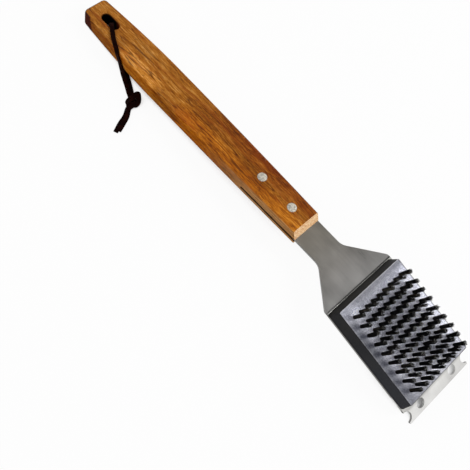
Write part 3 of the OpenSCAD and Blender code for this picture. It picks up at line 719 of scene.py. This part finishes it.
dress(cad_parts["handle"], finishes["wood"])
dress(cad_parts["steel_sheet"], finishes["sheet"])
dress(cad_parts["bristle_block"], finishes["block"])
for name in ("handle_rivet_front", "handle_rivet_rear"):
    dress(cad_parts[name], finishes["rivets"])
for k in range(1, 5):
    dress(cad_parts["block_screw_%d" % k], finishes["screws"])
for piece in (lace, knot, tail_low, tail_high):
    dress(piece, finishes["lace"])
for piece, ends in tuft_rows:
    dress(piece, finishes["wires"], ends_finish)
    piece.data.polygons.foreach_set("material_index", ends)

# Floor
FLOOR_HALF = 4.0
corners = np.array([(-1, -1, 0), (1, -1, 0), (1, 1, 0), (-1, 1, 0)]) * FLOOR_HALF
floor = add_mesh("floor", corners / MM, [(0, 1, 2, 3)])


def make_floor():
    """A pale floor that looks white where it lies open, and keeps the shadow where something is close."""
    f = Finish("pale_floor")
    cloud = f.noise(f.place(), 3.0, 2)
    f.set(Base_Color=f.ramp(cloud, [(0.3, (0.80, 0.80, 0.80)), (0.7, (0.83, 0.83, 0.83))]), Roughness=0.9)
    paths = f.node("LightPath").outputs
    seen = f.math("MAXIMUM", paths["Is Glossy Ray"], paths["Is Transmission Ray"])
    seen = f.math("MAXIMUM", paths["Is Camera Ray"], seen)
    open_sky = f.node("AmbientOcclusion", {"Distance": 0.03}, samples=8).outputs["AO"]
    x, y, _ = f.parts(f.place())
    out = f.math("ABSOLUTE", y)
    # shade under the scraper, deeper on the left, and under the slot
    below = f.math("MULTIPLY", f.span(x, 0.2100, 0.2130), f.span(x, 0.2310, 0.2290))
    below = f.math("MULTIPLY", below, f.span(out, 0.0345, 0.0325))
    below = f.math("MULTIPLY", below, f.span(y, 0.004, -0.004, 0.20, 0.80))
    slot = f.math("MULTIPLY", f.span(x, -0.2230, -0.2210), f.span(x, -0.1900, -0.1920))
    below = f.math("MAXIMUM", below, f.math("MULTIPLY", slot, f.span(out, 0.0130, 0.0120)))
    white = f.node("Emission", {"Color": (1, 1, 1, 1), "Strength": 1.0})
    lit = f.math("MULTIPLY", f.span(open_sky, 0.02, 0.45, 0.0, 0.94), f.math("SUBTRACT", 1.0, below))
    # the far floor fades to white
    lit = f.math("MAXIMUM", lit, f.span(f.vector("LENGTH", f.place()), 0.5, 1.8))
    shares = {0: f.math("MULTIPLY", seen, lit), 1: f.shader.outputs[0], 2: white.outputs[0]}
    f.tree.links.new(f.node("MixShader", shares).outputs[0], f.out.inputs[0])
    return f.material


floor.data.materials.append(make_floor())


# Light and world
def lamp(name, at, toward, size, power):
    data = bpy.data.lights.new(name, "AREA")
    data.shape = "RECTANGLE"
    data.size, data.size_y = size
    data.energy = power
    obj = bpy.data.objects.new(name, data)
    scene.collection.objects.link(obj)
    obj.location = at
    obj.rotation_mode = "QUATERNION"
    obj.rotation_quaternion = (Vector(toward) - Vector(at)).to_track_quat("-Z", "Y")


lamp("key", (0.64, 0.58, 0.97), (0.14, 0, 0.02), (0.50, 0.50), 7.0)
lamp("fill", (-0.9, -0.7, 0.9), (0, 0, 0.02), (0.9, 0.9), 5.0)


def make_world():
    """A studio that the camera sees white, and that is brighter at the sides than above."""
    world = bpy.data.worlds.new("studio")
    world.use_nodes = True
    nodes, links = world.node_tree.nodes, world.node_tree.links
    nodes.clear()
    out = nodes.new("ShaderNodeOutputWorld")
    mix = nodes.new("ShaderNodeMixShader")
    seen = nodes.new("ShaderNodeBackground")
    light = nodes.new("ShaderNodeBackground")
    path = nodes.new("ShaderNodeLightPath")
    place = nodes.new("ShaderNodeTexCoord")
    split = nodes.new("ShaderNodeSeparateXYZ")
    ramp = nodes.new("ShaderNodeValToRGB")
    seen.inputs["Color"].default_value = (1, 1, 1, 1)
    light.inputs["Strength"].default_value = 1.2
    side, zenith = ramp.color_ramp.elements
    side.position, side.color = 0.38, (1.0, 1.0, 1.0, 1)
    zenith.position, zenith.color = 0.72, (0.195, 0.195, 0.20, 1)
    links.new(place.outputs["Generated"], split.inputs[0])
    links.new(split.outputs[2], ramp.inputs[0])
    links.new(ramp.outputs[0], light.inputs["Color"])
    links.new(path.outputs["Is Camera Ray"], mix.inputs[0])
    links.new(light.outputs[0], mix.inputs[1])
    links.new(seen.outputs[0], mix.inputs[2])
    links.new(mix.outputs[0], out.inputs[0])
    return world


scene.world = make_world()
scene.view_settings.view_transform = "Standard"

bpy.context.view_layer.update()
